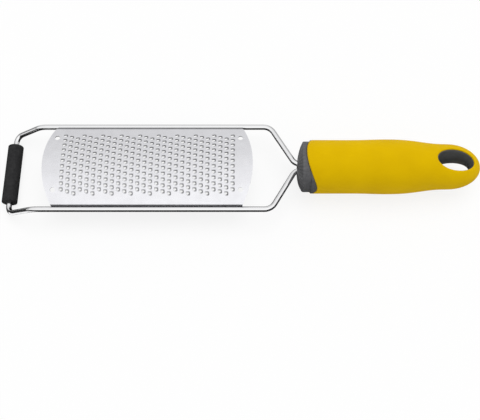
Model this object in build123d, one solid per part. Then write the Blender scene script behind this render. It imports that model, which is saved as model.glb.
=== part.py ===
from build123d import *
import math
import os

# Rasp zester: an arched etched blade held between the rails of one bent wire, whose front
# crossbar carries a rubber foot and whose two tangs are moulded into a handle with a soft grip.
# X runs along the tool with the handle at +X, Y across it, and Z up, with the teeth on top.
# The origin is on the table, under the middle of the tool's length.

# Wire frame
wire_diameter = 3.6
rail_spacing = 60.5
rail_length = 156.3
rail_front_bend = 14.0
nose_reach = 19.0
nose_drop = 11.4
nose_taper = 1.6
nose_bend = 5.5
shoulder_reach = 16.4
shoulder_bend = 8.0
tang_spacing = 5.0
tang_length = 58.0
tang_bend = 6.0
hook_reach = 5.0
hook_bend = 3.0

# Foot sleeve
foot_diameter = 10.3
foot_length = 41.7
foot_edge = 0.7
foot_fit = 0.02

# Blade
blade_setback = 12.2
blade_length = 125.3
blade_bulge = 6.8
sheet_thickness = 0.5
edge_rise = 2.65
arch_rise = 5.6
flange_height = 4.2
flange_bend = 0.9
weld_gap = 0.05
corner_hole_diameter = 3.4
corner_hole_setback = 1.3
corner_hole_spacing = 37.9

# Teeth
tooth_columns = 28
teeth_per_column = 11
column_pitch = 4.15
tooth_pitch = 3.97
stagger_steps = 3
tooth_length = 2.3
tooth_width = 1.9
tooth_corner = 0.55
lip_wall = 0.35
lip_height = 0.55
lip_foot = 0.1

# Weld beads between the blade's flanges and the rails
weld_count = 6
weld_length = 5.0
weld_diameter = 2.0

# Handle
handle_length = 121.7
handle_width = 36.9
handle_rise = 0.75
grip_wall = 2.6
collar_lead = 1.5
collar_step = 1.0
collar_length = 16.0
collar_dome_depth = 6.0
collar_dome_margin = 0.6
collar_face_trim = 0.2
shoulder_setback = 8.2
grip_edge_setback = 12.2
grip_edge_bow = 7.1
grip_edge_roll = 9
round_length = 20.8
slope_length = 28.8
hang_hole_length = 25.4
hang_hole_width = 15.1
hang_hole_setback = 18.4
liner_wall = 1.8
liner_cover = 0.8
liner_proud = 0.3
tang_fit = 0.02

# One overrun past the faces of whatever is cut
cut_overrun = 2.0

# The handle's outline: stations as shares of its length, sizes as shares of those at the
# swell, and the powers that bend the run to the neck and the two closing curves
waist_station_share = 0.3
swell_station_share = 0.477
neck_station_share = 0.79
front_share = 0.98
waist_share = 0.976
neck_width_share = 0.83
neck_height_share = 0.851
neck_power = 1.35
round_power = 2.0
slope_power = 1.75
end_angles = (15, 30, 45, 58, 69, 78, 84)
body_steps = 12
ring_points = 12

# The grip's front edge from the side: places up and down the handle as shares of its half
# height, and the power that bends the edge forwards between them
edge_height_shares = (-1.2, -0.8, -0.5, -0.25, 0.0, 0.25, 0.5, 0.8, 1.2)
edge_power = 1.5

# Sizes that follow from those above
foot_radius = foot_diameter / 2
wire_radius = wire_diameter / 2
rail_height = foot_radius + nose_drop
overall_length = (
    foot_radius + nose_reach + rail_length + shoulder_reach + collar_lead + handle_length
)
nose_x = foot_radius - overall_length / 2
rail_front_x = nose_x + nose_reach
rail_rear_x = rail_front_x + rail_length
tang_x = rail_rear_x + shoulder_reach
collar_x = tang_x + collar_lead
tip_x = collar_x + handle_length
handle_axis_height = rail_height + handle_rise
swell_half_width = handle_width / 2
swell_half_height = handle_axis_height
blade_half_width = rail_spacing / 2 - wire_radius - weld_gap
blade_front_x = rail_front_x + blade_setback
blade_middle_x = blade_front_x + blade_length / 2
edge_height = rail_height + edge_rise
arch_radius = (blade_half_width**2 + arch_rise**2) / (2 * arch_rise)
arch_centre_height = edge_height + arch_rise - arch_radius
hang_hole_x = tip_x - hang_hole_setback


def wire_path():
    """The wire's centre line, from one hooked tang round the crossbar to the other."""
    tang_end_x = tang_x + tang_length
    half_side = [
        (tang_end_x + hook_reach / 2, tang_spacing / 2 + hook_reach, rail_height),
        (tang_end_x, tang_spacing / 2, rail_height),
        (tang_x, tang_spacing / 2, rail_height),
        (rail_rear_x, rail_spacing / 2, rail_height),
        (rail_front_x, rail_spacing / 2, rail_height),
        (nose_x, rail_spacing / 2 - nose_taper, rail_height - nose_drop),
    ]
    half_bends = [hook_bend, tang_bend, shoulder_bend, rail_front_bend, nose_bend]
    other_side = [(x, -y, z) for x, y, z in reversed(half_side)]
    return FilletPolyline(*half_side, *other_side, radius=half_bends + half_bends[::-1])


def swept_wire(radius):
    """A round bar of the given radius along the wire's centre line."""
    path = wire_path()
    start = Plane(origin=path @ 0, z_dir=path % 0)
    return sweep(start * Circle(radius), path=path)


def make_wire_frame():
    """One round wire: crossbar, nose legs, rails, shoulders, tangs and their hooked ends."""
    return swept_wire(wire_radius)


def make_foot_sleeve():
    """A rubber tube over the crossbar."""
    tube = Cylinder(foot_radius, foot_length, rotation=(90, 0, 0))
    tube = fillet(tube.edges().filter_by(GeomType.CIRCLE), foot_edge)
    bore = Cylinder(wire_radius + foot_fit, foot_length + cut_overrun, rotation=(90, 0, 0))
    return Pos(nose_x, 0, foot_radius) * (tube - bore)


def arch_section(inset):
    """The closed outline under the arch and between its flanges, drawn in by an inset."""
    half_width = blade_half_width - inset
    radius = arch_radius - inset
    edge = arch_centre_height + math.sqrt(radius**2 - half_width**2)
    foot = edge_height - flange_height - (cut_overrun if inset else 0)
    crown = (0, arch_centre_height + radius)
    arch = ThreePointArc((-half_width, edge), crown, (half_width, edge))
    sides = Polyline((half_width, edge), (half_width, foot), (-half_width, foot), (-half_width, edge))
    outline = make_face([arch, *sides.edges()])
    corners = outline.vertices().sort_by(Axis.Y)[-2:]
    return fillet(corners, flange_bend - inset)


def blade_outline():
    """The blade seen from above: straight sides and bowed ends."""
    half_length = blade_length / 2
    points = [(side * half_length, across * blade_half_width) for side, across in
              ((-1, -1), (1, -1), (1, 1), (-1, 1))]
    tip = half_length + blade_bulge
    return make_face([
        Line(points[0], points[1]),
        ThreePointArc(points[1], (tip, 0), points[2]),
        Line(points[2], points[3]),
        ThreePointArc(points[3], (-tip, 0), points[0]),
    ])


def arch_place(x, arc_length):
    """The place on the arch's outer face at an arc length from the crown, facing outwards."""
    angle = arc_length / arch_radius
    y = arch_radius * math.sin(angle)
    z = arch_centre_height + arch_radius * math.cos(angle)
    return Location((x, y, z), (-math.degrees(angle), 0, 0))


def tooth_places(column):
    """Where one column's teeth stand, at the middle of the tool, stepped on from the last."""
    stagger = (stagger_steps - 1) / 2 - column % stagger_steps
    rows = [
        row - (teeth_per_column - 1) / 2 + stagger / stagger_steps
        for row in range(teeth_per_column)
    ]
    return [arch_place(0, row * tooth_pitch) for row in rows]


def tooth_outline(wall):
    """A tooth's mouth seen from above, square in front with cut corners behind, grown by a wall."""
    half_width = tooth_width / 2 + wall
    front = -tooth_length / 2
    back = tooth_length / 2 + wall
    corner = tooth_corner + wall / 2
    half = [(front, half_width), (back - corner, half_width), (back, half_width - corner)]
    other = [(x, -y) for x, y in reversed(half)]
    return make_face(Polyline(*half, *other, close=True))


def make_tooth_lip():
    """The raised edge round the back of a tooth's mouth, rising from front to back."""
    wall = extrude(tooth_outline(lip_wall) - tooth_outline(0), lip_height + lip_foot)
    back = tooth_length / 2 + lip_wall + cut_overrun
    ramp = Polyline(
        (-tooth_length / 2, lip_height + lip_foot + cut_overrun),
        (-tooth_length / 2, lip_foot),
        (tooth_length / 2, lip_height + lip_foot),
        (back, lip_height + lip_foot),
        (back, lip_height + lip_foot + cut_overrun),
        close=True,
    )
    above = extrude(Plane.XZ * make_face(ramp), tooth_width + cut_overrun, both=True)
    return Pos(0, 0, -lip_foot) * (wall - above)


def make_tooth_mouth():
    """The hole through the sheet that a tooth's lip stands round."""
    depth = sheet_thickness + lip_height + cut_overrun
    return extrude(tooth_outline(0), depth, both=True)


def sheet_section():
    """The bent sheet cut across: an arch with both edges turned down."""
    return Plane.YZ * (arch_section(0) - arch_section(sheet_thickness))


def toothed_strip(column):
    """A strip of the sheet, one column pitch long, with one column of teeth."""
    places = tooth_places(column)
    lip = make_tooth_lip()
    mouth = make_tooth_mouth()
    strip = extrude(sheet_section(), column_pitch / 2, both=True)
    strip = strip + [place * lip for place in places]
    return strip - [place * mouth for place in places]


def blade_end(side):
    """The plain end of the sheet beyond the teeth, with its bowed edge and corner holes."""
    field_half_length = tooth_columns * column_pitch / 2
    end_length = blade_length / 2 + blade_bulge + cut_overrun - field_half_length
    sheet = extrude(sheet_section(), end_length / 2, both=True)
    sheet = Pos(side * (field_half_length + end_length / 2), 0, 0) * sheet
    sheet = sheet & extrude(blade_outline(), edge_height + arch_rise + cut_overrun)
    hole_x = side * (blade_length / 2 - corner_hole_setback)
    hole = Cylinder(corner_hole_diameter / 2, 2 * arch_rise + cut_overrun)
    return sheet - [
        Pos(hole_x, across * corner_hole_spacing / 2, edge_height + arch_rise / 2) * hole
        for across in (-1, 1)
    ]


def make_blade():
    """The arched sheet with its flanges, teeth and corner holes."""
    kinds = [toothed_strip(column) for column in range(stagger_steps)]
    strips = [
        Pos((column - (tooth_columns - 1) / 2) * column_pitch, 0, 0) * kinds[column % stagger_steps]
        for column in range(tooth_columns)
    ]
    return Pos(blade_middle_x, 0, 0) * (blade_end(-1) + strips + blade_end(1))


def make_rail_welds(wire_frame):
    """Short beads that join each flange's lower edge to the rail beside it."""
    beads = []
    spacing = blade_length / weld_count
    for side in (-1, 1):
        for index in range(weld_count):
            x = blade_front_x + (index + 0.5) * spacing
            place = Pos(x, side * blade_half_width, edge_height - flange_height)
            bead = Cylinder(weld_diameter / 2, weld_length, rotation=(0, 90, 0))
            inner = Pos(0, -side * weld_diameter / 2, 0) * Box(
                weld_length + cut_overrun, weld_diameter, weld_diameter + cut_overrun)
            beads.append(place * (bead - inner) - wire_frame)
    return Compound(children=beads)


def eased(share):
    """A smooth step from 0 to 1."""
    return (1 - math.cos(math.pi * share)) / 2


def body_share(station, neck_share):
    """A section's size as a share of the swell's, from the collar back to the neck."""
    if station < waist_station_share:
        return front_share + (waist_share - front_share) * eased(station / waist_station_share)
    if station < swell_station_share:
        along = (station - waist_station_share) / (swell_station_share - waist_station_share)
        return waist_share + (1 - waist_share) * eased(along)
    if station < neck_station_share:
        along = (station - swell_station_share) / (neck_station_share - swell_station_share)
        return 1 - (1 - neck_share) * eased(along**neck_power)
    return neck_share


def closing_share(x, length, power):
    """How much of its size a section keeps over the length that closes the handle's end."""
    along = max(0.0, 1 - (tip_x - x) / length) * math.sin(math.radians(end_angles[-1]))
    return (1 - along**power) ** (1 / power)


def handle_section(x, inset):
    """An oval across the handle, drawn in by an inset."""
    station = (x - collar_x) / handle_length
    half_width = (body_share(station, neck_width_share) * swell_half_width - inset) * closing_share(
        x, round_length, round_power)
    half_height = (body_share(station, neck_height_share) * swell_half_height - inset) * closing_share(
        x, slope_length, slope_power)
    inset_reach = (round_length - inset) / round_length
    past_round = max(0.0, x - tip_x + round_length)
    section_x = x - past_round * (1 - inset_reach)
    ring = [math.tau * step / ring_points for step in range(ring_points)]
    points = [(half_width * math.cos(turn), half_height * math.sin(turn)) for turn in ring]
    plane = Plane(origin=(section_x, 0, handle_axis_height), x_dir=(0, 1, 0), z_dir=(1, 0, 0))
    return plane * make_face(Spline(*points, periodic=True))


def section_places():
    """Where the handle's sections stand: evenly to the neck, then closer round the end."""
    body_length = neck_station_share * handle_length
    places = [collar_x + body_length * step / body_steps for step in range(body_steps + 1)]
    sine_last = math.sin(math.radians(end_angles[-1]))
    for angle in end_angles:
        reach = math.sin(math.radians(angle)) / sine_last
        places.append(tip_x - round_length * (1 - reach))
    return places


def handle_body(inset):
    """The handle's outer form, drawn in by an inset."""
    return loft([handle_section(x, inset) for x in section_places()])


def collar_dome():
    """The round space that the collar fills, with a domed front that ends in a small flat."""
    half_width = swell_half_width - collar_step + collar_dome_margin
    front = collar_x - collar_face_trim
    dome_back = front + collar_dome_depth
    collar_back = collar_x + collar_length
    bow = EllipticalCenterArc(
        (dome_back, 0), collar_dome_depth, half_width, start_angle=90, arc_size=90)
    outline = make_face([
        bow,
        Line((front, 0), (collar_back, 0)),
        Line((collar_back, 0), (collar_back, half_width)),
        Line((collar_back, half_width), (dome_back, half_width)),
    ])
    return Pos(0, 0, handle_axis_height) * revolve(outline, Axis.X)


def behind_grip_edge():
    """Behind the grip's front edge, which bows forwards over the top and the underside."""
    back = tip_x + cut_overrun
    sides_x = collar_x + grip_edge_setback
    points = [
        (sides_x - grip_edge_bow * abs(share) ** edge_power, share * swell_half_height)
        for share in edge_height_shares
    ]
    low = points[0]
    high = points[-1]
    closing = Polyline(high, (back, high[1]), (back, low[1]), low)
    region = make_face([Spline(*points), *closing.edges()])
    block = extrude(region, swell_half_width + cut_overrun, both=True)
    return Location((0, 0, handle_axis_height), (90 - grip_edge_roll, 0, 0)) * block


def behind_plane(x):
    """All of the handle behind a plane across it."""
    length = tip_x + cut_overrun - x
    width = handle_width + cut_overrun
    return Pos(x + length / 2, 0, handle_axis_height) * Box(length, width, width)


def hang_hole(margin):
    """The oval through the handle's end, grown by a margin."""
    oval = Ellipse(hang_hole_length / 2 + margin, hang_hole_width / 2 + margin)
    return Pos(hang_hole_x, 0, handle_axis_height) * extrude(oval, handle_width, both=True)


def core_form(body):
    """The core before its sockets: collar, flush band, inner bar and the hang hole's lining."""
    collar = handle_body(collar_step) & collar_dome()
    band = body & behind_plane(collar_x + shoulder_setback)
    band = band - behind_grip_edge()
    bar = handle_body(grip_wall) & behind_plane(collar_x + shoulder_setback)
    lining = handle_body(liner_cover) & hang_hole(liner_wall)
    return collar + band + bar + lining


def make_handle_core(form):
    """The rigid core with the hang hole through it and the tangs moulded into it."""
    return form - hang_hole(-liner_proud) - swept_wire(wire_radius + tang_fit)


def make_handle_grip(body, form):
    """The soft grip moulded over the core."""
    return (body & behind_grip_edge()) - form - hang_hole(0)


def main():
    os.makedirs("parts", exist_ok=True)
    wire_frame = make_wire_frame()
    body = handle_body(0)
    form = core_form(body)
    nodes = {
        "wire_frame": wire_frame,
        "foot_sleeve": make_foot_sleeve(),
        "blade": make_blade(),
        "rail_welds": make_rail_welds(wire_frame),
        "handle_core": make_handle_core(form),
        "handle_grip": make_handle_grip(body, form),
    }
    for name, shape in nodes.items():
        export_step(shape, f"parts/{name}.step")
        print(name, len(shape.solids()), "solids", round(shape.volume), "cubic mm")


main()
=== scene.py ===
# %% [markdown]
# A rasp zester, dressed for its picture.
# The tool has six pieces: one bent wire, an arched blade full of small teeth, the weld beads
# that join the two, a rubber sleeve on the nose, and a handle with a hard core and a soft grip.
# Their solids come in as a fixed frame. This file builds what is seen around that frame, in
# metres, and never moves it.

# %% The frame
import math

import bmesh
import bpy
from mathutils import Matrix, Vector
from mathutils.geometry import tessellate_polygon


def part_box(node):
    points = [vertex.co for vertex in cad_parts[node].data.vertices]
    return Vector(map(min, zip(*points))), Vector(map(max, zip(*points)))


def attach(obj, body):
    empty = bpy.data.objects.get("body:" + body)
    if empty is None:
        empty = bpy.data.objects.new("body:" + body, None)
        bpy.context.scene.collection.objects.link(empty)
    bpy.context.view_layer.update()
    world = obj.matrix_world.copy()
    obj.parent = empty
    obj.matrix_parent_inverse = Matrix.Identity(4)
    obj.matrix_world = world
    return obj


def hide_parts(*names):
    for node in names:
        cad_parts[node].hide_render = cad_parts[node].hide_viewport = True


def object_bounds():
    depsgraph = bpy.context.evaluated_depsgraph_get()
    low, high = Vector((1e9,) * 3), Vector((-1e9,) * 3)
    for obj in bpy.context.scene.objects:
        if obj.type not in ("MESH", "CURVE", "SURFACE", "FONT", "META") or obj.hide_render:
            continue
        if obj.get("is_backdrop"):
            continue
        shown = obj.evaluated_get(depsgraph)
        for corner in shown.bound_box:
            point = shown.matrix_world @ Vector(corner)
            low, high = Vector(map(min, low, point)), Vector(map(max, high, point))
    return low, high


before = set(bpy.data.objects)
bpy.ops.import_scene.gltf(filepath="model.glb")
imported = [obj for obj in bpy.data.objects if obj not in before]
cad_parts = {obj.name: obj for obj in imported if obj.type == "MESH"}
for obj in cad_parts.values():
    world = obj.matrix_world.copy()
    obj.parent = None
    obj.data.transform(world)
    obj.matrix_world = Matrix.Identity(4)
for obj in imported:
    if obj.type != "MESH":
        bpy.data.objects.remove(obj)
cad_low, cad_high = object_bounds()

print("frame:", ", ".join(sorted(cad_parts)))
print("size in metres:", [round(size, 4) for size in cad_high - cad_low])

# %% [markdown]
# Places are measured from the frame's own boxes wherever a box gives them. What no box can give,
# such as the radius of a bend, is written here once, in millimetres.

# %% Places read from the frame
mm = 0.001
wire_radius = 1.8 * mm
wire_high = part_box("wire_frame")[1]
foot_low, foot_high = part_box("foot_sleeve")
blade_low, blade_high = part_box("blade")
rail_height = wire_high.z - wire_radius
rail_half_spacing = wire_high.y - wire_radius
foot_radius = (foot_high.z - foot_low.z) / 2
nose_x = (foot_low.x + foot_high.x) / 2
tip_x = 160.025 * mm
axis_lift = 0.75 * mm
axis_height = rail_height + axis_lift
print("rail height", round(rail_height / mm, 2), "mm, handle axis", round(axis_height / mm, 2), "mm")

# %% [markdown]
# The camera first, so that every later step can be judged in the picture's own frame. It looks
# down at the tool from the near side, with the handle to the right.

# %% Camera
camera_tilt = math.radians(22.18)
camera_place = (0, -0.2228, 0.4875)
sensor_width, focal_length = 36.0, 58.38
camera_data = bpy.data.cameras.new("camera")
camera_data.sensor_width = sensor_width
camera_data.lens = focal_length
camera = bpy.data.objects.new("camera", camera_data)
camera.location = camera_place
camera.rotation_euler = (camera_tilt, 0, 0)
bpy.context.scene.collection.objects.link(camera)
bpy.context.scene.camera = camera
bpy.context.scene.view_settings.view_transform = "Standard"
print("camera elevation", round(90 - math.degrees(camera_tilt), 1), "degrees")

# %% [markdown]
# A few small helpers serve every tree of nodes: one adds a node and fills its sockets, one makes a
# group with named inputs and outputs, and one empties the tree of a material or a sky. A socket
# takes either a value or another socket.

# %% Helpers for node trees
def add(tree, kind, values=None, **settings):
    """Adds a node, with its settings, its plain values and its links."""
    node = tree.nodes.new(kind)
    for name, value in settings.items():
        setattr(node, name, value)
    for name, value in (values or {}).items():
        if isinstance(value, bpy.types.NodeSocket):
            tree.links.new(value, node.inputs[name])
        else:
            node.inputs[name].default_value = value
    return node


def maths(tree, operation, first, second=0.0, third=0.0):
    """One sum, on values or sockets."""
    return add(tree, "ShaderNodeMath", {0: first, 1: second, 2: third}, operation=operation).outputs[0]


def new_group(name, kind, inputs, outputs):
    """A group with named sockets, each given as (name, type, default)."""
    tree = bpy.data.node_groups.new(name, kind)
    for direction, sockets in (("INPUT", inputs), ("OUTPUT", outputs)):
        for label, socket_type, default in sockets:
            socket = tree.interface.new_socket(label, in_out=direction, socket_type=socket_type)
            if default is not None:
                socket.default_value = default
    return tree, tree.nodes.new("NodeGroupInput"), tree.nodes.new("NodeGroupOutput")


def empty_tree(owner):
    """The node tree of a material or a sky, with nothing in it yet."""
    owner.use_nodes = True
    owner.node_tree.nodes.clear()
    return owner.node_tree


print("helpers ready")

# %% [markdown]
# Real surfaces are never even. Two shared groups give every finish its life: one turns noise into
# a value between two limits, for colour or roughness, and one turns finer noise into a tilted
# normal. Stretching the noise along one axis gives the grain of drawn or brushed metal.

# %% Shared shader groups
FLOAT = "NodeSocketFloat"
VECTOR = "NodeSocketVector"
mottle_detail = 3.0
grain_detail = 2.0
noise_low, noise_high = 0.3, 0.7


def stretched_noise(tree, group_in, detail):
    """Noise on the piece's own coordinates, stretched by the group's Stretch input."""
    place = add(tree, "ShaderNodeTexCoord").outputs["Object"]
    stretch = add(tree, "ShaderNodeVectorMath", {0: place, 1: group_in.outputs["Stretch"]},
                  operation="MULTIPLY")
    return add(tree, "ShaderNodeTexNoise", {
        "Vector": stretch.outputs[0], "Scale": group_in.outputs["Scale"], "Detail": detail})


def make_mottle():
    """Noise spread between two limits."""
    tree, group_in, group_out = new_group(
        "mottle", "ShaderNodeTree",
        [("Scale", FLOAT, 300.0), ("Stretch", VECTOR, (1, 1, 1)), ("Low", FLOAT, 0.0),
         ("High", FLOAT, 1.0)],
        [("Value", FLOAT, None)])
    noise = stretched_noise(tree, group_in, mottle_detail)
    spread = add(tree, "ShaderNodeMapRange", {
        "Value": noise.outputs["Fac"], "From Min": noise_low, "From Max": noise_high,
        "To Min": group_in.outputs["Low"], "To Max": group_in.outputs["High"]})
    tree.links.new(spread.outputs["Result"], group_out.inputs["Value"])
    return tree


def make_grain():
    """Noise turned into a slightly tilted normal."""
    tree, group_in, group_out = new_group(
        "grain", "ShaderNodeTree",
        [("Scale", FLOAT, 1500.0), ("Stretch", VECTOR, (1, 1, 1)), ("Depth", FLOAT, 0.0001)],
        [("Normal", VECTOR, None)])
    noise = stretched_noise(tree, group_in, grain_detail)
    bump = add(tree, "ShaderNodeBump", {
        "Height": noise.outputs["Fac"], "Distance": group_in.outputs["Depth"], "Strength": 1.0})
    tree.links.new(bump.outputs["Normal"], group_out.inputs["Normal"])
    return tree


mottle_group = make_mottle()
grain_group = make_grain()
print("groups:", mottle_group.name, grain_group.name)

# %% [markdown]
# In a finish each group gets numbers of its own: how far the value may drift, how fine it is and
# how it is stretched. Every finish has an uneven roughness and a grain, so one function sets both.

# %% Groups in a finish
# The Mix node keeps its colours at these places among its sockets.
MIX_FIRST, MIX_SECOND, MIX_RESULT = 6, 7, 2


def use_mottle(tree, low, high, scale, stretch=(1, 1, 1)):
    """The mottle group's value in a material."""
    node = add(tree, "ShaderNodeGroup", node_tree=mottle_group)
    for name, value in (("Low", low), ("High", high), ("Scale", scale), ("Stretch", stretch)):
        node.inputs[name].default_value = value
    return node.outputs["Value"]


def use_grain(tree, depth, scale, stretch=(1, 1, 1)):
    """The grain group's normal in a material."""
    node = add(tree, "ShaderNodeGroup", node_tree=grain_group)
    for name, value in (("Depth", depth), ("Scale", scale), ("Stretch", stretch)):
        node.inputs[name].default_value = value
    return node.outputs["Normal"]


def roughen(tree, shader, roughness, grain):
    """Uneven roughness, as (low, high, scale), and grain, as (depth, scale). Both may be stretched."""
    tree.links.new(use_mottle(tree, *roughness), shader.inputs["Roughness"])
    tree.links.new(use_grain(tree, *grain), shader.inputs["Normal"])


def mix_colours(tree, share, first, second):
    """A colour between two others."""
    node = add(tree, "ShaderNodeMix", {"Factor": share}, data_type="RGBA")
    node.inputs[MIX_FIRST].default_value = (*first, 1)
    node.inputs[MIX_SECOND].default_value = (*second, 1)
    return node.outputs[MIX_RESULT]


def new_material(name, values):
    """An empty material with one Principled shader, its plain values set on the shader itself."""
    material = bpy.data.materials.new(name)
    tree = empty_tree(material)
    shader = add(tree, "ShaderNodeBsdfPrincipled", values)
    add(tree, "ShaderNodeOutputMaterial", {"Surface": shader.outputs[0]})
    return material, tree, shader


print("finishes can be mixed")

# %% [markdown]
# The wire is drawn steel with bright plating. It is almost a mirror, so its look is mostly what it
# reflects. Faint lines along its length and patches that are a little duller stop it from looking
# like glass.

# %% Plated wire
plating_colour = (0.97, 0.97, 0.98, 1)
plating_roughness = (0.02, 0.06, 260, (0.3, 1, 1))
plating_grain = (0.000004, 900, (0.05, 1, 1))


def make_plated_wire():
    """Bright plating over drawn steel."""
    material, tree, shader = new_material("plated_wire", {"Base Color": plating_colour, "Metallic": 1.0})
    roughen(tree, shader, plating_roughness, plating_grain)
    return material


plated_wire = make_plated_wire()
print("made", plated_wire.name)

# %% [markdown]
# The blade is thin stainless steel with a satin face. The sheet keeps a soft sheen along its
# length. The lips of its teeth and its folded flanges are painted darker: painted shade for the
# shadow and the dark reflections in the lips and along the fold. The mesh carries that mask
# itself, as a point attribute, so the painted shade follows the teeth and the fold exactly.

# %% Satin blade
sheet_bright = (0.965, 0.965, 1.0)
# The dark end of the blade's colour: random wear and the painted shade of lips and folds both lead to it.
sheet_wear_and_painted_shade = (0.035, 0.035, 0.04)
sheet_wear = (0.0, 0.06, 180)
sheet_roughness = (0.24, 0.34, 900, (0.06, 1, 1))
sheet_grain = (0.000006, 2500, (0.04, 1, 1))


def make_satin_blade():
    """Satin steel, darker with random wear and with the painted shade that the mesh's mask carries."""
    material, tree, shader = new_material("satin_blade", {"Metallic": 1.0})
    painted_shade = add(tree, "ShaderNodeAttribute", attribute_name="painted_shade").outputs["Fac"]
    share = maths(tree, "ADD", painted_shade, use_mottle(tree, *sheet_wear))
    colour = mix_colours(tree, share, sheet_bright, sheet_wear_and_painted_shade)
    tree.links.new(colour, shader.inputs["Base Color"])
    roughen(tree, shader, sheet_roughness, sheet_grain)
    return material


satin_blade = make_satin_blade()
print("made", satin_blade.name)

# %% [markdown]
# A weld bead is steel that melted and froze in ripples. It is duller than the sheet, with brown
# tints where the heat coloured it.

# %% Weld bead finish
weld_grey = (0.52, 0.50, 0.50)
weld_brown = (0.34, 0.27, 0.20)
weld_tint = (0.0, 1.0, 700)
weld_roughness = (0.3, 0.55, 1200)
weld_grain = (0.00003, 2500)


def make_weld_steel():
    """Steel that melted, tinted in patches."""
    material, tree, shader = new_material("weld_steel", {"Metallic": 1.0})
    colour = mix_colours(tree, use_mottle(tree, *weld_tint), weld_grey, weld_brown)
    tree.links.new(colour, shader.inputs["Base Color"])
    roughen(tree, shader, weld_roughness, weld_grain)
    return material


weld_steel = make_weld_steel()
print("made", weld_steel.name)

# %% [markdown]
# The hard collar has fine ribs that run out from the wire over its domed front. A group turns the
# angle round the handle into ribs, and fades them out where the dome ends.

# %% Collar ribs
rib_count = 40.0
rib_colour = (0.3, 0.3, 0.31, 1)
rib_lift = 0.3
rib_fade_start = tip_x - 120.8 * mm
rib_fade_end = tip_x - 117.2 * mm


def make_ribs():
    """Ribs that radiate from the handle's axis, as a value from 0 to 1."""
    tree, group_in, group_out = new_group(
        "collar_ribs", "ShaderNodeTree",
        [("Count", FLOAT, rib_count), ("Axis Height", FLOAT, axis_height),
         ("Fade Start", FLOAT, rib_fade_start), ("Fade End", FLOAT, rib_fade_end)],
        [("Value", FLOAT, None)])
    place = add(tree, "ShaderNodeSeparateXYZ", {0: add(tree, "ShaderNodeTexCoord").outputs["Object"]})
    up = maths(tree, "SUBTRACT", place.outputs["Z"], group_in.outputs["Axis Height"])
    turn = maths(tree, "ARCTAN2", up, place.outputs["Y"])
    wave = maths(tree, "SINE", maths(tree, "MULTIPLY", turn, group_in.outputs["Count"]))
    rib = maths(tree, "MULTIPLY_ADD", wave, 0.5, 0.5)
    fade = add(tree, "ShaderNodeMapRange", {
        "Value": place.outputs["X"], "From Min": group_in.outputs["Fade Start"],
        "From Max": group_in.outputs["Fade End"], "To Min": 1.0, "To Max": 0.0})
    tree.links.new(maths(tree, "MULTIPLY", rib, fade.outputs["Result"]), group_out.inputs["Value"])
    return tree


def add_ribs(material):
    """Lays the ribs over a moulded finish."""
    tree = material.node_tree
    shader = next(node for node in tree.nodes if node.type == "BSDF_PRINCIPLED")
    ribs = add(tree, "ShaderNodeGroup", {
        "Count": rib_count, "Axis Height": axis_height, "Fade Start": rib_fade_start,
        "Fade End": rib_fade_end}, node_tree=make_ribs())
    plain = shader.inputs["Base Color"].links[0].from_socket
    share = maths(tree, "MULTIPLY", ribs.outputs[0], rib_lift)
    paler = add(tree, "ShaderNodeMix", {"Factor": share}, data_type="RGBA")
    tree.links.new(plain, paler.inputs[MIX_FIRST])
    paler.inputs[MIX_SECOND].default_value = rib_colour
    tree.links.new(paler.outputs[MIX_RESULT], shader.inputs["Base Color"])


print("ribs ready")

# %% [markdown]
# Four moulded finishes share one recipe: a colour that drifts a little between two tones, a
# roughness that drifts in finer patches, and a fine grain from the mould. Only the numbers differ
# between the black rubber sleeve, the grey core, the lining of its hole and the yellow grip. The
# lining is the same grey plastic as the core, painted paler: painted light that lifts it out of
# the shade inside the hole.

# %% Moulded finishes
# How many times finer the patches of roughness are than the patches of colour.
roughness_fineness = 3


def make_moulded(name, tones, tone_scale, roughness, grain, **extra):
    """A moulded plastic or rubber. Extra values are set on the shader itself."""
    material, tree, shader = new_material(name, {
        socket.replace("_", " "): value for socket, value in extra.items()})
    colour = mix_colours(tree, use_mottle(tree, 0.0, 1.0, tone_scale), *tones)
    tree.links.new(colour, shader.inputs["Base Color"])
    roughen(tree, shader, (*roughness, tone_scale * roughness_fineness), grain)
    return material


sleeve_rubber = make_moulded(
    "sleeve_rubber", tones=((0.013, 0.013, 0.014), (0.025, 0.025, 0.026)), tone_scale=420,
    roughness=(0.6, 0.8), grain=(0.00006, 1400), Specular_IOR_Level=0.3)
core_plastic = make_moulded(
    "core_plastic", tones=((0.075, 0.076, 0.080), (0.112, 0.112, 0.118)), tone_scale=700,
    roughness=(0.42, 0.56), grain=(0.00005, 2200, (1.0, 1.0, 0.35)))
add_ribs(core_plastic)
# The lining is the core's grey plastic, painted paler: painted light against the shade inside the hole.
liner_painted_paler = make_moulded(
    "liner_painted_paler", tones=((0.130, 0.136, 0.138), (0.175, 0.180, 0.186)), tone_scale=200,
    roughness=(0.30, 0.40), grain=(0.00002, 900))
grip_rubber = make_moulded(
    "grip_rubber", tones=((0.70, 0.440, 0.0), (0.745, 0.478, 0.0)), tone_scale=60,
    roughness=(0.55, 0.68), grain=(0.000018, 2600), Specular_IOR_Level=0.05)
print("made", sleeve_rubber.name, core_plastic.name, liner_painted_paler.name, grip_rubber.name)

# %% [markdown]
# A piece is built as a plain mesh, or by a tree of geometry nodes whose result is settled into a
# plain mesh. These helpers do the book-keeping: they hand a modifier its inputs by identifier,
# settle it, smooth the shading with crisp edges, hang the piece on the root body and hide the
# frame's part that it stands in for.

# %% Helpers for pieces
def object_from(name, vertices, edges=(), faces=()):
    """A mesh object at the origin."""
    mesh = bpy.data.meshes.new(name)
    mesh.from_pydata([tuple(vertex) for vertex in vertices], list(edges), list(faces))
    piece = bpy.data.objects.new(name, mesh)
    bpy.context.scene.collection.objects.link(piece)
    return piece


def grow(piece, tree, values):
    """Adds a geometry-nodes modifier and sets its inputs by identifier."""
    modifier = piece.modifiers.new(tree.name, "NODES")
    modifier.node_group = tree
    for item in tree.interface.items_tree:
        if item.item_type == "SOCKET" and item.in_out == "INPUT" and item.name in values:
            modifier[item.identifier] = values[item.name]


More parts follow.
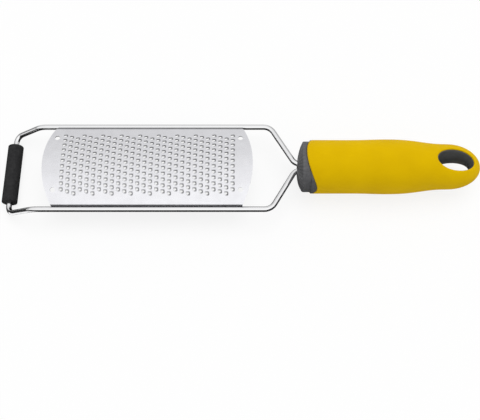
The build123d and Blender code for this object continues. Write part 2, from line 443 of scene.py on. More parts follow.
def settle(piece):
    """Turns what the modifiers make into the piece's own plain mesh."""
    graph = bpy.context.evaluated_depsgraph_get()
    mesh = bpy.data.meshes.new_from_object(piece.evaluated_get(graph), depsgraph=graph)
    piece.modifiers.clear()
    piece.data = mesh


def dress(piece, node, crease=35):
    """Shades a finished piece and puts it in the CAD node's place."""
    piece.data.shade_smooth()
    piece.data.set_sharp_from_angle(angle=math.radians(crease))
    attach(piece, "root")
    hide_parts(node)
    piece.data.calc_loop_triangles()
    print(piece.name, len(piece.data.loop_triangles), "triangles")


# %% [markdown]
# The wire is bent from one rod, on a jig: straight runs with a bend of its own radius at each
# corner. A curve through the corners with Fillet Curve repeats that, and Curve to Mesh sweeps the
# round section along it. Each corner keeps its bend radius as a point attribute.

# %% Wire corners
rail_front_x = nose_x + 19.0 * mm
rail_rear_x = rail_front_x + 156.3 * mm
tang_x = rail_rear_x + 16.4 * mm
tang_end_x = tang_x + 58.0 * mm
tang_half_spacing = 2.5 * mm
hook_reach = 5.0 * mm
nose_half_width = rail_half_spacing - 1.6 * mm
hook_bend = 3.0 * mm
collar_bend = 6.0 * mm
shoulder_bend = 8.0 * mm
nose_bend = 14.0 * mm
foot_bend = 5.5 * mm

wire_corners = [
    (tang_end_x + hook_reach / 2, tang_half_spacing + hook_reach, rail_height, 0.0),
    (tang_end_x, tang_half_spacing, rail_height, hook_bend),
    (tang_x, tang_half_spacing, rail_height, collar_bend),
    (rail_rear_x, rail_half_spacing, rail_height, shoulder_bend),
    (rail_front_x, rail_half_spacing, rail_height, nose_bend),
    (nose_x, nose_half_width, foot_radius, foot_bend),
]
wire_corners += [(x, -y, z, bend) for x, y, z, bend in reversed(wire_corners)]
print("wire corners:", len(wire_corners))

# %% Wire tree
def make_wire_tree():
    """Corners, rounded by their bends, swept with a round section."""
    tree, group_in, group_out = new_group(
        "bent_wire", "GeometryNodeTree",
        [("Geometry", "NodeSocketGeometry", None), ("Radius", FLOAT, wire_radius),
         ("Steps Per Bend", "NodeSocketInt", 14), ("Sides", "NodeSocketInt", 32),
         ("Finish", "NodeSocketMaterial", None)],
        [("Geometry", "NodeSocketGeometry", None)])
    line = add(tree, "GeometryNodeMeshToCurve", {"Mesh": group_in.outputs["Geometry"]})
    bend = add(tree, "GeometryNodeInputNamedAttribute", {"Name": "bend"}, data_type="FLOAT")
    bent = add(tree, "GeometryNodeFilletCurve", {
        "Curve": line.outputs["Curve"], "Count": group_in.outputs["Steps Per Bend"],
        "Radius": bend.outputs["Attribute"]}, mode="POLY")
    section = add(tree, "GeometryNodeCurvePrimitiveCircle", {
        "Resolution": group_in.outputs["Sides"], "Radius": group_in.outputs["Radius"]})
    rod = add(tree, "GeometryNodeCurveToMesh", {
        "Curve": bent.outputs["Curve"], "Profile Curve": section.outputs["Curve"],
        "Fill Caps": True})
    real = add(tree, "GeometryNodeRealizeInstances", {"Geometry": rod.outputs["Mesh"]})
    finished = add(tree, "GeometryNodeSetMaterial", {
        "Geometry": real.outputs["Geometry"], "Material": group_in.outputs["Finish"]})
    tree.links.new(finished.outputs["Geometry"], group_out.inputs["Geometry"])
    return tree


def make_wire():
    """The whole bent wire as one piece."""
    edges = [(index, index + 1) for index in range(len(wire_corners) - 1)]
    piece = object_from("bent_wire", [corner[:3] for corner in wire_corners], edges)
    bend = piece.data.attributes.new("bend", "FLOAT", "POINT")
    bend.data.foreach_set("value", [corner[3] for corner in wire_corners])
    grow(piece, make_wire_tree(), {"Radius": wire_radius, "Finish": plated_wire})
    settle(piece)
    dress(piece, "wire_frame", crease=60)


make_wire()

# %% [markdown]
# The blade starts as a flat pattern, as the real sheet does. In the pattern x runs along the
# blade and y is measured across the sheet, round the arch and down the flange. Bending it is a
# rule, so a tree of nodes does that later.
# Every tooth sits in a cell of the same size. Columns of cells are shifted in three steps, so all
# cell corners fall on lines one third of a pitch apart. The plain border is a grid on the same
# lines, and the cells join it without a seam.

# %% Blade sizes
columns = 28
rows = 11
stagger_steps = 3
column_pitch = 4.15 * mm
tooth_pitch = 3.97 * mm
sheet_thickness = 0.5 * mm
blade_half_width = blade_high.y
blade_half_length = 62.65 * mm
blade_bulge = 6.8 * mm
blade_middle_x = (blade_low.x + blade_high.x) / 2
arch_rise = 5.6 * mm
edge_lift = 2.65 * mm
flange_height = 4.2 * mm
edge_height = rail_height + edge_lift
flange_bottom = edge_height - flange_height
bend_radius = 0.9 * mm
corner_hole_radius = 1.7 * mm
corner_hole_x = 61.35 * mm
corner_hole_y = 18.95 * mm

arch_radius = (blade_half_width**2 + arch_rise**2) / (2 * arch_rise)
arch_centre_z = edge_height + arch_rise - arch_radius
bend_start = math.asin((blade_half_width - bend_radius) / (arch_radius - bend_radius))
arch_reach = bend_start * arch_radius
bend_reach = (math.pi / 2 - bend_start) * bend_radius
bend_centre_z = arch_centre_z + (arch_radius - bend_radius) * math.cos(bend_start)
flange_reach = bend_centre_z - flange_bottom
field_half_length = columns * column_pitch / 2
end_radius = (blade_half_width**2 + blade_bulge**2) / (2 * blade_bulge)
line_step = tooth_pitch / stagger_steps
print("sheet across, flat:", round(2 * (arch_reach + bend_reach + flange_reach) / mm, 2), "mm")


def width_at(across):
    """How far from the middle a point of the flat pattern ends up."""
    on_arch = min(across, arch_reach) / arch_radius
    on_bend = min(max(across - arch_reach, 0), bend_reach) / bend_radius
    return arch_radius * math.sin(on_arch) + bend_radius * (
        math.sin(on_arch + on_bend) - math.sin(on_arch))


def end_at(across):
    """How far along the blade its bowed end lies, at a place across the flat pattern."""
    width = min(width_at(abs(across)), blade_half_width)
    drop = end_radius - math.sqrt(end_radius**2 - width**2)
    return blade_half_length + blade_bulge - drop


# %% [markdown]
# One tooth: a mouth that is square in front and rounded behind. The sheet climbs around its back
# and stops in a sharp lip, which is what cuts. Four rings make it: one on the flat sheet, one low
# on the slope, one near its top and one at the lip.

# %% One tooth
tooth_half_width = 0.85 * mm
tooth_front = -1.02 * mm
tooth_round_x = 0.15 * mm
lip_height = 0.44 * mm
ring_growths = (0.7 * mm, 0.54 * mm, 0.08 * mm, 0.0)
ring_lifts = (0.0, 0.24, 0.92, 1.0)
# Painted shade on each ring of a tooth, for the shadow and dark reflection in its lip; the far side gets
# more.
ring_painted_shades = (0.0, 0.2, 0.66, 0.66)
far_side_painted_shade = 0.9
arc_steps = 8
tooth_roundness = 0.5
tooth_offset = -0.35 * mm
front_growth_share = 0.4
climb_end = tooth_round_x + tooth_half_width * 0.5


def squared(value):
    """Pushes a place on a circle out towards a square with round corners."""
    return math.copysign(abs(value) ** tooth_roundness, value)


def tooth_ring(growth):
    """The tooth's outline on the flat sheet, grown outwards."""
    half_width = tooth_half_width + growth
    front = tooth_front - growth * front_growth_share
    middle = (front + tooth_round_x) / 2
    arc = [math.pi / 2 - math.pi * step / arc_steps for step in range(arc_steps + 1)]
    back = [(tooth_round_x + half_width * squared(math.cos(turn)),
             half_width * squared(math.sin(turn))) for turn in arc]
    ring = ([(front, 0), (front, half_width), (middle, half_width)] + back
            + [(middle, -half_width), (front, -half_width)])
    return [(x, y + tooth_offset) for x, y in ring]


def climb(x):
    """How far the lip has risen at a place along the tooth, from 0 in front to 1 behind."""
    share = min(max((x - tooth_front) / (climb_end - tooth_front), 0.0), 1.0)
    return share * share * (3 - 2 * share)


def painted_shade_share(x, y):
    """How much of its ring's painted shade a point gets: more where the lip is high and on the far side.
    """
    far_side = far_side_painted_shade if y - tooth_offset > tooth_half_width / 2 else 0.0
    return max(climb(x), far_side)


print("mouth width", round(2 * tooth_half_width / mm, 2), "mm, lip", round(lip_height / mm, 2), "mm")

# %% [markdown]
# The rings of a tooth are set into a flat cell. The cell's own edge has points where its shifted
# neighbours have theirs, so that cells meet point to point.

# %% Tooth cell
def cell_outline():
    """The cell's own edge, with points where the shifted neighbours have theirs."""
    half = column_pitch / 2
    lines = [tooth_pitch * (step / stagger_steps - 0.5) for step in range(stagger_steps + 1)]
    return [(-half, y) for y in lines] + [(half, y) for y in reversed(lines)]


def fill_between(points, outer, inner):
    """Faces between an outer outline and the holes in it, facing up."""
    loops = [[Vector((*points[index], 0)) for index in loop] for loop in (outer, *inner)]
    order = [index for loop in (outer, *inner) for index in loop]
    faces = []
    for corners in tessellate_polygon(loops):
        face = [order[corner] for corner in corners]
        ends = [Vector(points[index]) for index in face]
        if (ends[1] - ends[0]).cross(ends[2] - ends[0]) < 0:
            face.reverse()
        faces.append(face)
    return faces


def make_tooth_cell():
    """One cell of the flat sheet with its tooth, as a pattern piece."""
    outline = cell_outline()
    points = list(outline)
    lifts = [0.0] * len(outline)
    painted_shades = [0.0] * len(outline)
    rings = []
    for growth, lift, painted_shade in zip(ring_growths, ring_lifts, ring_painted_shades):
        ring = tooth_ring(growth)
        rings.append([len(points) + index for index in range(len(ring))])
        points += ring
        lifts += [lip_height * lift * climb(x) for x, y in ring]
        painted_shades += [painted_shade * painted_shade_share(x, y) for x, y in ring]
    faces = fill_between(points, list(range(len(outline))), [rings[0]])
    for outer, inner in zip(rings, rings[1:]):
        for index in range(len(outer)):
            after = (index + 1) % len(outer)
            faces.append((outer[index], inner[index], inner[after], outer[after]))
    cell = object_from("tooth_cell", [(x, y, z) for (x, y), z in zip(points, lifts)], faces=faces)
    # The mask holds the painted shade of the lips.
    mask = cell.data.attributes.new("painted_shade", "FLOAT", "POINT")
    mask.data.foreach_set("value", painted_shades)
    check = bmesh.new()
    check.from_mesh(cell.data)
    check.normal_update()
    looking_down = sum(face.normal.z < 0 for face in check.faces)
    print("faces that look down:", looking_down, "of", len(check.faces))
    check.free()
    return cell


tooth_cell = make_tooth_cell()

# %% [markdown]
# The border of the pattern is everything that is not a tooth cell: the plain strips above and
# below each column, the flanges, and the two bowed ends with a round hole near each corner.

# %% Blade border
half_field_lines = 21
field_lines = [(step + 0.5) * line_step for step in range(half_field_lines)]
bend_steps = 5
bend_lines = [arch_reach + bend_reach * step / bend_steps for step in range(bend_steps + 1)]
flange_lines = [arch_reach + bend_reach + flange_reach * share for share in (0.5, 1.0)]
half_lines = field_lines + bend_lines + flange_lines
all_lines = [-line for line in reversed(half_lines)] + half_lines
end_shares = (0.0, 0.14, 0.63, 0.82, 1.0)
hole_points = 24
hole_room = 2 * line_step
hole_line_room = 2.1 * line_step
# Painted shade along the folds, for the shadow and dark reflection at the flanges: the far fold gets it
# from a little before its bend, the near fold from just after.
near_fold_painted_shade, far_fold_painted_shade = 0.6, 0.8
near_fold_shade_start = arch_reach + 1.5 * bend_reach / bend_steps
far_fold_shade_start = arch_reach - line_step / 2


def toothed(column, across):
    """Whether a place across the pattern lies in a column's run of teeth."""
    stagger = ((stagger_steps - 1) / 2 - column % stagger_steps) / stagger_steps
    middle = stagger * tooth_pitch
    return abs(across - middle) < rows * tooth_pitch / 2


def plain_strips(sheet):
    """The cells of each column that hold no tooth."""
    for column in range(columns):
        left = (column - columns / 2) * column_pitch
        for low, high in zip(all_lines, all_lines[1:]):
            if not toothed(column, (low + high) / 2):
                sheet.quad((left, low), (left + column_pitch, low), (left + column_pitch, high),
                           (left, high))


def bowed_end(sheet, side):
    """One end of the sheet, from the last column to the bowed edge, with a hole in each corner."""
    hole_across = arch_radius * math.asin(corner_hole_y / arch_radius)
    before_hole, after_hole = end_shares[1:3]

    def place(share, across):
        """A point of the end, part of the way from the last column to the edge."""
        return (side * (field_half_length + share * (end_at(across) - field_half_length)), across)

    for low, high in zip(all_lines, all_lines[1:]):
        for first, second in zip(end_shares, end_shares[1:]):
            middle = abs(low + high) / 2
            by_hole = abs(middle - hole_across) < hole_room and first == before_hole
            if not by_hole:
                sheet.quad(place(first, low), place(second, low), place(second, high),
                           place(first, high))
    for up in (-1, 1):
        near = sorted(line for line in all_lines if abs(up * line - hole_across) < hole_line_room)
        outline = [place(before_hole, line) for line in near]
        outline += [place(after_hole, line) for line in reversed(near)]
        turns = [math.tau * step / hole_points for step in range(hole_points)]
        ring = [(side * corner_hole_x + corner_hole_radius * math.cos(turn),
                 up * hole_across + corner_hole_radius * math.sin(turn)) for turn in turns]
        sheet.fill(outline, ring)


print("lines across the sheet:", len(all_lines))

# %% [markdown]
# The border's faces are gathered on one flat sheet. Points that lie on each other stay separate
# for now, and are merged later with those of the teeth.

# %% Border faces
class FlatSheet:
    """Points and faces of a flat pattern."""

    def __init__(self):
        """Starts with an empty sheet."""
        self.points = []
        self.faces = []

    def quad(self, *corners):
        """Four corners, wound so that the face looks up."""
        first, second, third = (Vector(corner) for corner in corners[:3])
        ordered = corners if (second - first).cross(third - first) > 0 else corners[::-1]
        self.faces.append(range(len(self.points), len(self.points) + 4))
        self.points += ordered

    def fill(self, outline, ring):
        """The sheet between an outline and a round hole."""
        start = len(self.points)
        self.points += outline + ring
        outer = list(range(start, start + len(outline)))
        inner = list(range(start + len(outline), len(self.points)))
        self.faces += fill_between(self.points, outer, [inner])


def fold_painted_shade(y):
    """How much painted shade the sheet gets: the far fold a little before its bend, the near fold just
    after.
    """
    if y > 0:
        return far_fold_painted_shade if y > far_fold_shade_start else 0.0
    return near_fold_painted_shade if -y > near_fold_shade_start else 0.0


def make_blade_border():
    """The border of the flat pattern as one object."""
    sheet = FlatSheet()
    plain_strips(sheet)
    bowed_end(sheet, -1)
    bowed_end(sheet, 1)
    points = [(x, y, 0) for x, y in sheet.points]
    border = object_from("toothed_blade", points, faces=[tuple(face) for face in sheet.faces])
    # The mask holds the painted shade of the folds.
    mask = border.data.attributes.new("painted_shade", "FLOAT", "POINT")
    mask.data.foreach_set("value", [fold_painted_shade(y) for x, y in sheet.points])
    print("border faces:", len(sheet.faces))
    return border


blade = make_blade_border()

# %% [markdown]
# Now the nodes take over. A grid of points, one for each tooth, is shifted column by column, a
# cell is placed on every point, and the cells are joined to the border. The whole flat pattern is
# then bent: round the arch, round the tight bend, and straight down the flange. The height of a
# lip above the flat pattern becomes its height above the bent sheet.

# %% Blade tree
merge_distance = 0.005 * mm


def column_shift(tree, group_in):
    """How far each point moves across, by the number of its column."""
    place = add(tree, "GeometryNodeInputPosition").outputs[0]
    along = add(tree, "ShaderNodeSeparateXYZ", {0: place}).outputs["X"]
    last = maths(tree, "SUBTRACT", group_in.outputs["Columns"], 1.0)
    counted = maths(tree, "ADD", maths(tree, "DIVIDE", along, group_in.outputs["Column Pitch"]),
                    maths(tree, "MULTIPLY", last, 0.5))
    column = maths(tree, "ROUND", counted)
    steps = group_in.outputs["Stagger Steps"]
    step = maths(tree, "MODULO", column, steps)
    middle = maths(tree, "MULTIPLY", maths(tree, "SUBTRACT", steps, 1.0), 0.5)
    shift = maths(tree, "DIVIDE", maths(tree, "SUBTRACT", middle, step), steps)
    across = maths(tree, "MULTIPLY", shift, group_in.outputs["Tooth Pitch"])
    return add(tree, "ShaderNodeCombineXYZ", {"Y": across}).outputs[0]


def field_of_cells(tree, group_in):
    """A tooth cell on every point of the shifted grid."""
    length = maths(tree, "MULTIPLY", maths(tree, "SUBTRACT", group_in.outputs["Columns"], 1.0),
                   group_in.outputs["Column Pitch"])
    width = maths(tree, "MULTIPLY", maths(tree, "SUBTRACT", group_in.outputs["Rows"], 1.0),
                  group_in.outputs["Tooth Pitch"])
    grid = add(tree, "GeometryNodeMeshGrid", {
        "Size X": length, "Size Y": width, "Vertices X": group_in.outputs["Columns"],
        "Vertices Y": group_in.outputs["Rows"]})
    shifted = add(tree, "GeometryNodeSetPosition", {
        "Geometry": grid.outputs["Mesh"], "Offset": column_shift(tree, group_in)})
    cell = add(tree, "GeometryNodeObjectInfo", {"Object": group_in.outputs["Cell"]})
    return add(tree, "GeometryNodeInstanceOnPoints", {
        "Points": shifted.outputs["Geometry"], "Instance": cell.outputs["Geometry"]}).outputs[0]


def bent_place(tree, group_in):
    """Where a point of the flat pattern goes when the sheet is bent."""
    place = add(tree, "ShaderNodeSeparateXYZ", {0: add(tree, "GeometryNodeInputPosition").outputs[0]})
    across = maths(tree, "ABSOLUTE", place.outputs["Y"])
    side = maths(tree, "SIGN", place.outputs["Y"])
    on_arch = maths(tree, "MINIMUM", across, group_in.outputs["Arch Reach"])
    past_arch = maths(tree, "SUBTRACT", across, on_arch)
    on_bend = maths(tree, "MINIMUM", past_arch, group_in.outputs["Bend Reach"])
    on_flange = maths(tree, "SUBTRACT", past_arch, on_bend)
    arch_turn = maths(tree, "DIVIDE", on_arch, group_in.outputs["Arch Radius"])
    turn = maths(tree, "ADD", arch_turn, maths(tree, "DIVIDE", on_bend, group_in.outputs["Bend Radius"]))
    core = maths(tree, "SUBTRACT", group_in.outputs["Arch Radius"], group_in.outputs["Bend Radius"])
    outer = maths(tree, "ADD", group_in.outputs["Bend Radius"], place.outputs["Z"])
    width = maths(tree, "MULTIPLY_ADD", core, maths(tree, "SINE", arch_turn),
                  maths(tree, "MULTIPLY", outer, maths(tree, "SINE", turn)))
    height = maths(tree, "MULTIPLY_ADD", core, maths(tree, "COSINE", arch_turn),
                   maths(tree, "MULTIPLY", outer, maths(tree, "COSINE", turn)))
    height = maths(tree, "SUBTRACT", height, on_flange)
    return add(tree, "ShaderNodeCombineXYZ", {
        "X": maths(tree, "ADD", place.outputs["X"], group_in.outputs["Middle X"]),
        "Y": maths(tree, "MULTIPLY", width, side),
        "Z": maths(tree, "ADD", height, group_in.outputs["Arch Centre Z"])}).outputs[0]


def make_blade_tree():
    """Tooth cells on a shifted grid, joined to the border and bent with it."""
    sizes = [(name, FLOAT, 0.01) for name in (
        "Column Pitch", "Tooth Pitch", "Middle X", "Arch Centre Z", "Arch Radius", "Arch Reach",
        "Bend Radius", "Bend Reach")]
    counts = [(name, "NodeSocketInt", 3) for name in ("Columns", "Rows", "Stagger Steps")]
    tree, group_in, group_out = new_group(
        "toothed_blade", "GeometryNodeTree",
        [("Geometry", "NodeSocketGeometry", None), *counts, *sizes,
         ("Cell", "NodeSocketObject", None), ("Finish", "NodeSocketMaterial", None)],
        [("Geometry", "NodeSocketGeometry", None)])
    sheet = add(tree, "GeometryNodeJoinGeometry")
    tree.links.new(group_in.outputs["Geometry"], sheet.inputs[0])
    tree.links.new(field_of_cells(tree, group_in), sheet.inputs[0])
    real = add(tree, "GeometryNodeRealizeInstances", {"Geometry": sheet.outputs[0]})
    joined = add(tree, "GeometryNodeMergeByDistance", {
        "Geometry": real.outputs["Geometry"], "Distance": merge_distance})
    bent = add(tree, "GeometryNodeSetPosition", {
        "Geometry": joined.outputs["Geometry"], "Position": bent_place(tree, group_in)})
    finished = add(tree, "GeometryNodeSetMaterial", {
        "Geometry": bent.outputs["Geometry"], "Material": group_in.outputs["Finish"]})
    tree.links.new(finished.outputs["Geometry"], group_out.inputs["Geometry"])
    return tree


grow(blade, make_blade_tree(), {
    "Columns": columns, "Rows": rows, "Stagger Steps": stagger_steps,
    "Column Pitch": column_pitch, "Tooth Pitch": tooth_pitch, "Middle X": blade_middle_x,
    "Arch Centre Z": arch_centre_z, "Arch Radius": arch_radius, "Arch Reach": arch_reach,
    "Bend Radius": bend_radius, "Bend Reach": bend_reach, "Cell": tooth_cell,
    "Finish": satin_blade})

# %% [markdown]
# The bent surface still has no thickness. Solidify gives it half a millimetre inwards, with even
# walls in the mouths of the teeth.

# %% Blade thickness
wall = blade.modifiers.new("wall", "SOLIDIFY")
wall.thickness = sheet_thickness
wall.offset = -1
wall.use_even_offset = True
wall.use_quality_normals = True
settle(blade)
bpy.data.objects.remove(tooth_cell)
dress(blade, "blade", crease=40)
open_edges = bmesh.new()
open_edges.from_mesh(blade.data)
print("open edges:", sum(edge.is_boundary for edge in open_edges.edges))
open_edges.free()

# %% [markdown]
# Short weld beads hold each flange to the rail beside it. One bead is a small rod of frozen
# ripples, made once. A grid of points, two rows of six, places it along both rails, and a little
# random turn and length, from a fixed seed, keeps the beads from looking stamped.

# %% Weld beads
bead_length = 5.0 * mm
bead_radius = 1.0 * mm
bead_rings = 25
bead_sides = 12
bead_ripples = 6
ripple_depth = 0.07
bead_end_power = 0.45
bead_inset = 0.35 * mm
beads_per_rail = 6
bead_spacing = blade_half_length / 3
bead_turn_low, bead_turn_high = (0.0, -0.05, -0.04), (math.tau, 0.05, 0.04)
bead_scale_low, bead_scale_high = (0.88, 0.9, 0.9), (1.0, 1.0, 1.0)


def make_bead():
    """One rippled bead along x."""
    points = []
    for ring in range(bead_rings):
        turn = math.pi * (ring + 0.5) / bead_rings
        along = -math.cos(turn)
        ripple = 1 + ripple_depth * math.cos(along * bead_ripples * math.pi)
        radius = bead_radius * math.sin(turn) ** bead_end_power * ripple
        for side in range(bead_sides):
            angle = math.tau * side / bead_sides
            points.append((along * bead_length / 2, radius * math.cos(angle), radius * math.sin(angle)))
    faces = []
    for ring in range(bead_rings - 1):
        for side in range(bead_sides):
            after = (side + 1) % bead_sides
            low, high = ring * bead_sides, (ring + 1) * bead_sides
            faces.append((low + side, high + side, high + after, low + after))
    faces.append(tuple(range(bead_sides)))
    faces.append(tuple(reversed(range((bead_rings - 1) * bead_sides, bead_rings * bead_sides))))
    bead = object_from("bead", points, faces=faces)
    shell = bmesh.new()
    shell.from_mesh(bead.data)
    bmesh.ops.recalc_face_normals(shell, faces=shell.faces)
    shell.to_mesh(bead.data)
    shell.free()
    return bead


def random_vector(tree, group_in, low, high):
    """A vector between two others, drawn anew for each bead from the group's seed."""
    return add(tree, "FunctionNodeRandomValue", {
        0: low, 1: high, "Seed": group_in.outputs["Seed"]}, data_type="FLOAT_VECTOR").outputs[0]


def make_weld_tree():
    """Beads on two rows of points, one along each rail."""
    tree, group_in, group_out = new_group(
        "weld_beads", "GeometryNodeTree",
        [("Geometry", "NodeSocketGeometry", None), ("Beads Per Rail", "NodeSocketInt", 6),
         ("Spacing", FLOAT, 0.02), ("Between Rails", FLOAT, 0.05), ("Middle", VECTOR, (0, 0, 0)),
         ("Bead", "NodeSocketObject", None), ("Seed", "NodeSocketInt", 4),
         ("Finish", "NodeSocketMaterial", None)],
        [("Geometry", "NodeSocketGeometry", None)])
    gaps = maths(tree, "SUBTRACT", group_in.outputs["Beads Per Rail"], 1.0)
    grid = add(tree, "GeometryNodeMeshGrid", {
        "Size X": maths(tree, "MULTIPLY", gaps, group_in.outputs["Spacing"]),
        "Size Y": group_in.outputs["Between Rails"],
        "Vertices X": group_in.outputs["Beads Per Rail"], "Vertices Y": 2})
    placed = add(tree, "GeometryNodeSetPosition", {
        "Geometry": grid.outputs["Mesh"], "Offset": group_in.outputs["Middle"]})
    bead = add(tree, "GeometryNodeObjectInfo", {"Object": group_in.outputs["Bead"]})
    turn = random_vector(tree, group_in, bead_turn_low, bead_turn_high)
    stretch = random_vector(tree, group_in, bead_scale_low, bead_scale_high)
    beads = add(tree, "GeometryNodeInstanceOnPoints", {
        "Points": placed.outputs["Geometry"], "Instance": bead.outputs["Geometry"],
        "Rotation": turn, "Scale": stretch})
    real = add(tree, "GeometryNodeRealizeInstances", {"Geometry": beads.outputs[0]})
    finished = add(tree, "GeometryNodeSetMaterial", {
        "Geometry": real.outputs["Geometry"], "Material": group_in.outputs["Finish"]})
    tree.links.new(finished.outputs["Geometry"], group_out.inputs["Geometry"])
    return tree


bead = make_bead()
welds = object_from("weld_beads", [])
grow(welds, make_weld_tree(), {
    "Beads Per Rail": beads_per_rail, "Spacing": bead_spacing,
    "Between Rails": 2 * (blade_half_width + bead_inset),
    "Middle": (blade_middle_x, 0.0, flange_bottom), "Bead": bead, "Finish": weld_steel})
settle(welds)
bpy.data.objects.remove(bead)
dress(welds, "rail_welds", crease=60)

# %% [markdown]
# The sleeve on the nose is a short length of rubber tube, cut square, with edges that have gone
# soft. It is a ring of points, turned round the wire and joined row by row.

# %% Helpers for shells
def loop_of(shell, places):
    """A closed loop of new vertices."""
    return [shell.verts.new(place) for place in places]


def bridge(shell, first, second):
    """Faces between two loops of the same length."""
    for index in range(len(first)):
        after = (index + 1) % len(first)
        shell.faces.new((first[index], first[after], second[after], second[index]))


def cap(shell, loop, place):
    """Closes a loop with a fan round one point."""
    tip = shell.verts.new(place)
    for index, vertex in enumerate(loop):
        shell.faces.new((vertex, loop[(index + 1) % len(loop)], tip))


def shell_object(shell, name, materials):
    """Turns the finished shell into an object, facing outwards."""
    bmesh.ops.recalc_face_normals(shell, faces=shell.faces)
    mesh = bpy.data.meshes.new(name)
    shell.to_mesh(mesh)
    shell.free()
    for material in materials:
        mesh.materials.append(material)
    piece = bpy.data.objects.new(name, mesh)
    bpy.context.scene.collection.objects.link(piece)
    return piece


print("shell helpers ready")

# %% Nose sleeve
sleeve_half_length = foot_high.y
sleeve_sides = 72
sleeve_edge = 0.4 * mm
sleeve_edge_steps = 6
bore_room = 0.02 * mm
bore_edge = 0.3 * mm
end_face_shares = (0.35, 0.7, 0.92)
outside_shares = (0.75, 0.5, 0.25, 0.0)


def sleeve_profile():
    """Radius and place along the tube, from one bore edge round the outside to the other."""
    bore = wire_radius + bore_room
    half = [(bore, 0.0), (bore, sleeve_half_length - bore_edge),
            (bore + bore_edge, sleeve_half_length)]
    flat_edge = foot_radius - sleeve_edge
    half += [(bore + (flat_edge - bore) * share, sleeve_half_length) for share in end_face_shares]
    for step in range(sleeve_edge_steps + 1):
        turn = math.pi / 2 * step / sleeve_edge_steps
        half.append((flat_edge + sleeve_edge * math.sin(turn),
                     sleeve_half_length - sleeve_edge * (1 - math.cos(turn))))
    half += [(foot_radius, sleeve_half_length * share) for share in outside_shares]
    return half + [(radius, -along) for radius, along in reversed(half[1:-1])]


def make_sleeve():
    """The rubber sleeve, turned round the crossbar."""
    shell = bmesh.new()
    loops = []
    for radius, along in sleeve_profile():
        turns = [math.tau * side / sleeve_sides for side in range(sleeve_sides)]
        loops.append(loop_of(shell, [
            (nose_x + radius * math.cos(turn), along, foot_radius + radius * math.sin(turn))
            for turn in turns]))
    for first, second in zip(loops, loops[1:] + loops[:1]):
        bridge(shell, first, second)
    piece = shell_object(shell, "nose_sleeve", [sleeve_rubber])
    dress(piece, "foot_sleeve")


make_sleeve()

# %% [markdown]
# The handle follows one rule from end to end. At any place along it the section is an oval, whose
# width and height come from a few shares: slim at the collar, full at the swell, slim again at
# the neck, and closing in a round end. The core and the grip are both cut from that form.

# %% Handle form
handle_length = 121.7 * mm
collar_x = tip_x - handle_length
swell_half_width = 18.45 * mm
swell_half_height = axis_height
waist_station, swell_station, neck_station = 0.3, 0.477, 0.79
front_share, waist_share = 0.98, 0.976
neck_width_share, neck_height_share = 0.83, 0.851
neck_power = 1.35
round_length, round_power = 20.8 * mm, 2.0
slope_length, slope_power = 28.8 * mm, 1.75


def eased(share):
    """A smooth step from 0 to 1."""
    return (1 - math.cos(math.pi * share)) / 2


def body_share(station, neck_share):
    """A section's size as a share of the swell's."""
    if station < waist_station:
        return front_share + (waist_share - front_share) * eased(station / waist_station)
    if station < swell_station:
        along = (station - waist_station) / (swell_station - waist_station)
        return waist_share + (1 - waist_share) * eased(along)
    if station < neck_station:
        along = (station - swell_station) / (neck_station - swell_station)
        return 1 - (1 - neck_share) * eased(along**neck_power)
    return neck_share


def half_sizes(x, inset=0.0):
    """Half the width and half the height of the handle at a place along it."""
    station = (x - collar_x) / handle_length
    sizes = []
    for swell, neck, length, power in (
            (swell_half_width, neck_width_share, round_length, round_power),
            (swell_half_height, neck_height_share, slope_length, slope_power)):
        along = min(max(1 - (tip_x - inset - x) / (length - inset), 0.0), 1.0)
        closing = (1 - along**power) ** (1 / power)
        sizes.append((swell * body_share(station, neck) - inset) * closing)
    return sizes


def section_point(x, turn, inset=0.0):
    """A point on the oval section."""
    half_width, half_height = half_sizes(x, inset)
    return (x, half_width * math.cos(turn), axis_height + half_height * math.sin(turn))


def surface_height(x, y, inset=0.0):
    """How far the handle's surface stands from its axis, above a point of its plan."""
    half_width, half_height = half_sizes(x, inset)
    share = min(abs(y) / half_width, 1.0) if half_width else 1.0
    return half_height * math.sqrt(1 - share * share)


for station in (0.0, swell_station, neck_station):
    sizes = [round(2 * half / mm, 1) for half in half_sizes(collar_x + station * handle_length)]
    print("width and height at", station, "of the handle:", sizes, "mm")

# %% [markdown]
# The grip's front edge is a wave: it reaches forwards over the top and under the belly, and
# leaves a patch of the hard core bare on each side. The edge itself is rolled over.

# %% Grip edge
grip_edge_setback = 12.2 * mm
grip_edge_bow = 7.1 * mm
grip_edge_roll = math.radians(9)
edge_power = 1.5
collar_step = 1.0 * mm
collar_length = 16.0 * mm
grip_wall = 2.6 * mm
lip_roll = 0.85 * mm
ring_sides = 96
ring_turns = [math.tau * side / ring_sides for side in range(ring_sides)]


def grip_edge(turn):
    """Where the grip starts, at an angle round the handle."""
    _, y, z = section_point(collar_x, turn)
    height = y * math.sin(grip_edge_roll) + (z - axis_height) * math.cos(grip_edge_roll)
    return collar_x + grip_edge_setback - grip_edge_bow * abs(height / swell_half_height) ** edge_power


for name, turn in (("on top", math.pi / 2), ("at the side", 0)):
    setback = grip_edge(turn) - collar_x
    print("grip edge", name, round(setback / mm, 1), "mm behind the collar's front")

# %% [markdown]
# The hanging hole goes through the handle's end. Around it the surface is a patch of its own: rows
# of points run from the outline of the handle in to the rim, and each point is lifted to the
# form's surface. The rim is rolled, and the wall goes down to the core's lining.

# %% Hole patch
hole_x = tip_x - 18.4 * mm
hole_half_length = 12.7 * mm
hole_half_width = 7.55 * mm
rim_roll = 1.3 * mm
lining_wall = 1.8 * mm
split_x = hole_x - 18.5 * mm
half_ring = ring_sides // 2
outline_steps = 96
outline_power = 0.7
patch_rows = 14
blend_points = 10


def oval_point(turn, growth):
    """A point on the hole's oval, grown outwards."""
    return (hole_x + (hole_half_length + growth) * math.cos(turn),
            (hole_half_width + growth) * math.sin(turn))


